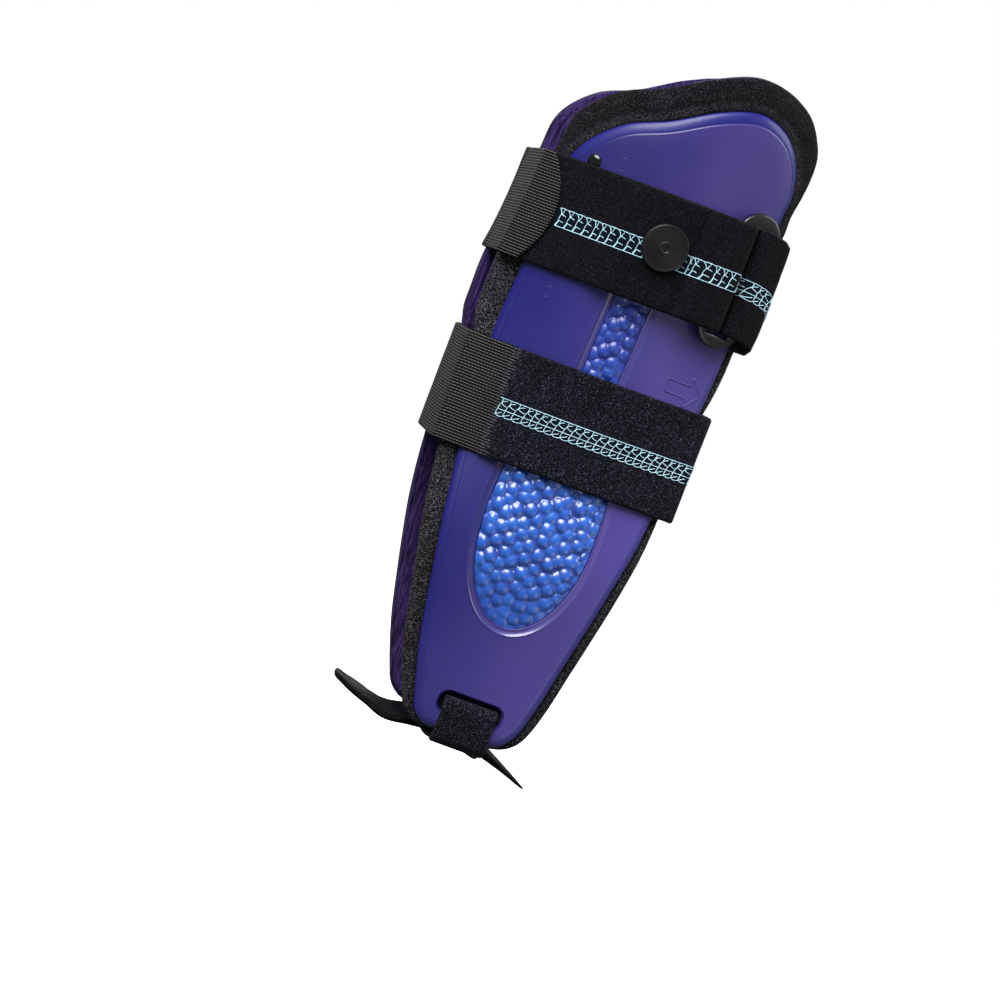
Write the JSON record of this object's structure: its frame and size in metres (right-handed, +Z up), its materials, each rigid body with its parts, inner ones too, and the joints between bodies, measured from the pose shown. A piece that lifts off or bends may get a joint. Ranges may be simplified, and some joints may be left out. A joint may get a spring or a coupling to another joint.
{
  "type": "stirrup ankle brace",
  "caption": "Stirrup ankle brace with padded contoured plastic side shells, beaded windows, wrap straps with a ring, and a heel pad strap through slots.",
  "frame": {"origin": "middle of the heel pad's upper face, on the plane midway between the two shells, where the wearer's heel sits", "axes": "+X towards the toes, +Z up the shank, -Y the lateral side, which carries the ring and button"},
  "size_m": [0.1012, 0.1077, 0.2707],
  "materials": {
    "shell_plastic": "satin translucent indigo plastic",
    "bead_plastic": "glossy bright blue beads",
    "pile_fabric": "black brushed pile",
    "woven_elastic": "dark grey ribbed weave",
    "purple_textile": "dark purple woven lining",
    "black_plastic": "satin black plastic"
  },
  "bodies": {
    "root": {"lateral_shell": "shell_plastic", "medial_shell": "shell_plastic", "lateral_bead_panel": "bead_plastic", "medial_bead_panel": "bead_plastic", "lateral_pad": "pile_fabric", "medial_pad": "pile_fabric", "lateral_lining": "purple_textile", "medial_lining": "purple_textile", "lateral_stud": "black_plastic", "medial_stud": "black_plastic", "upper_strap": "pile_fabric", "upper_front_strap": "pile_fabric", "upper_elastic": "woven_elastic", "strap_ring": "black_plastic", "strap_button": "black_plastic", "lower_strap": "pile_fabric", "lower_elastic": "woven_elastic", "heel_pad": "pile_fabric", "heel_strap": "pile_fabric"}
  },
  "joints": []
}
